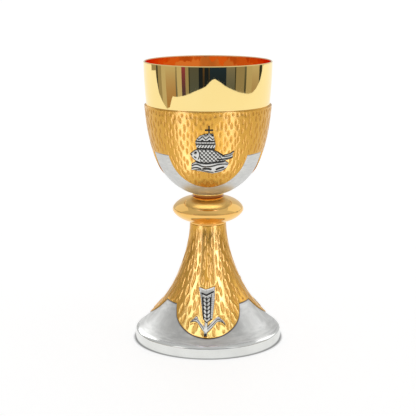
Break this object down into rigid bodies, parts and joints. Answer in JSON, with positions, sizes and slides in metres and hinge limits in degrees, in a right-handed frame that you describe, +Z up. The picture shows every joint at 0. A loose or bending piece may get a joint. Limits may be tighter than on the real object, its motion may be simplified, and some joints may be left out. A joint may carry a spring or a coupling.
{
  "type": "communion chalice",
  "caption": "Footed drinking cup: plain gilt bowl in a lobed hammered calyx, flattened round knop, trumpet stem and foot, cast emblems on the lobes.",
  "frame": {"origin": "on the table, at the centre of the foot's flat lower edge", "axes": "+Z up along the chalice's axis; -Y towards the first lobe, with the emblem seen in front"},
  "size_m": [0.105, 0.105, 0.2],
  "materials": {
    "gilt_polished": "polished gilding, mirror bright",
    "gilt_hammered": "hammered gilding, bright ridges and satin hollows",
    "silver_satin": "satin silver, finely brushed round the axis",
    "silver_oxidised": "cast silver, blackened hollows and bright ridges",
    "brass_turned": "plain turned brass, inside",
    "steel_zinc": "zinc-plated steel fastener"
  },
  "bodies": {
    "root": {"cup": "gilt_polished", "cup_boss": "brass_turned", "calyx_shell": "silver_satin", "calyx_sheath": "gilt_hammered", "upper_collar": "gilt_polished", "knop_upper": "gilt_polished", "knop_lower": "gilt_polished", "knop_sleeve": "brass_turned", "lower_collar": "gilt_polished", "foot_shell": "silver_satin", "foot_sheath": "gilt_hammered", "foot_ring": "brass_turned", "stem_cap": "brass_turned", "tie_rod": "steel_zinc", "flat_washer": "steel_zinc", "spring_washer": "steel_zinc", "tie_nut": "steel_zinc", "ship_emblem_1": "silver_oxidised", "wheat_emblem_1": "silver_oxidised", "ship_emblem_2": "silver_oxidised", "wheat_emblem_2": "silver_oxidised", "ship_emblem_3": "silver_oxidised", "wheat_emblem_3": "silver_oxidised"}
  },
  "joints": []
}
